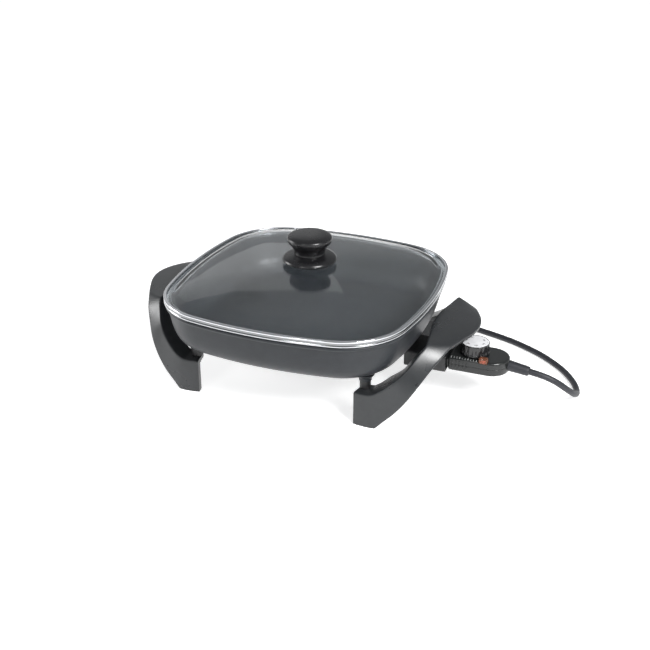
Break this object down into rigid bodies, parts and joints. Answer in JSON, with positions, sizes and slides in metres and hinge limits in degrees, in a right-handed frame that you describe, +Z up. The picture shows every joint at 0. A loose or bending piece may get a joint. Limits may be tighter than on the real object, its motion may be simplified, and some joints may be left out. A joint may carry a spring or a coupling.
{
  "type": "electric skillet",
  "caption": "Rounded-square electric skillet with a domed glass lid, moulded handles that form its feet, and a plug-in temperature control on a cord.",
  "frame": {"origin": "the worktop, straight under the middle of the pan", "axes": "+Z up, +X from the pan towards its temperature control, -Y towards the cook"},
  "size_m": [0.5456, 0.4236, 0.1792],
  "materials": {
    "pan_coating": "dark grey non-stick coating, satin",
    "cast_metal": "cast, matt",
    "element_sheath": "heat-darkened sheath",
    "bright_steel": "bright",
    "insulator": "unglazed white",
    "black_phenolic": "moulded, matt",
    "screw_steel": "zinc plated",
    "grey_phenolic": "moulded, fine satin",
    "lid_glass": "clear tempered",
    "band_steel": "bright rolled steel",
    "gasket_rubber": "silicone",
    "knob_black": "gloss",
    "insert_brass": "turned",
    "control_black": "moulded, semi-gloss",
    "lens_orange": "clear orange",
    "lamp_glow": "lit",
    "insulator_board": "phenolic board",
    "contact_bronze": "rolled",
    "lead_white": "braid sleeve",
    "print_white": "printed",
    "cord_black": "moulded, matt",
    "dial_black": "semi-gloss",
    "dial_white": "printed white",
    "dial_print": "printed",
    "tie_black": "plastic-coated tie",
    "plug_black": "moulded"
  },
  "bodies": {
    "skillet": {"skillet_pan": "pan_coating", "element_channel": "cast_metal", "heating_element": "element_sheath", "terminal_pins": "bright_steel", "pin_insulators": "insulator", "probe_socket": "cast_metal", "socket_guard": "black_phenolic", "guard_screws": "screw_steel", "pan_bosses": "pan_coating", "heat_spacers": "black_phenolic", "handle_screws": "screw_steel", "lock_washers": "screw_steel", "left_handle": "grey_phenolic", "right_handle": "grey_phenolic"},
    "lid": {"lid_glass": "lid_glass", "lid_band": "band_steel", "knob_gasket": "gasket_rubber", "knob_skirt": "knob_black", "lid_knob": "knob_black", "knob_insert": "insert_brass", "knob_washer": "bright_steel", "knob_screw": "bright_steel"},
    "control": {"control_top": "control_black", "control_bottom": "control_black", "shell_screws": "screw_steel", "indicator_lens": "lens_orange", "neon_lamp": "lamp_glow", "contact_carrier": "insulator_board", "socket_contacts": "insert_brass", "probe_rod": "bright_steel", "probe_collar": "bright_steel", "thermostat_frame": "screw_steel", "bimetal_blade": "insert_brass", "contact_spring": "contact_bronze", "contact_points": "bright_steel", "inner_leads": "lead_white", "scale_marks": "print_white", "strain_relief": "cord_black", "cord_tube": "cord_black", "cord_coil": "cord_black", "coil_tie": "tie_black", "plug_body": "plug_black", "plug_blades": "insert_brass"},
    "dial": {"dial_knob": "dial_black", "dial_face": "dial_white", "dial_marks": "dial_print", "dial_shaft": "screw_steel"}
  },
  "joints": [
    {"name": "lid_lift", "type": "slide", "parent": "skillet", "child": "lid", "axis": [0, 0, 1], "range_m": [0, 0.12]},
    {"name": "control_pull", "type": "slide", "parent": "skillet", "child": "control", "axis": [1, 0, 0], "range_m": [0, 0.09]},
    {"name": "dial_turn", "type": "hinge", "parent": "control", "child": "dial", "pos_m": [0.21, 0, 0.06], "axis": [0, 0, -1], "range_deg": [0, 270]}
  ]
}
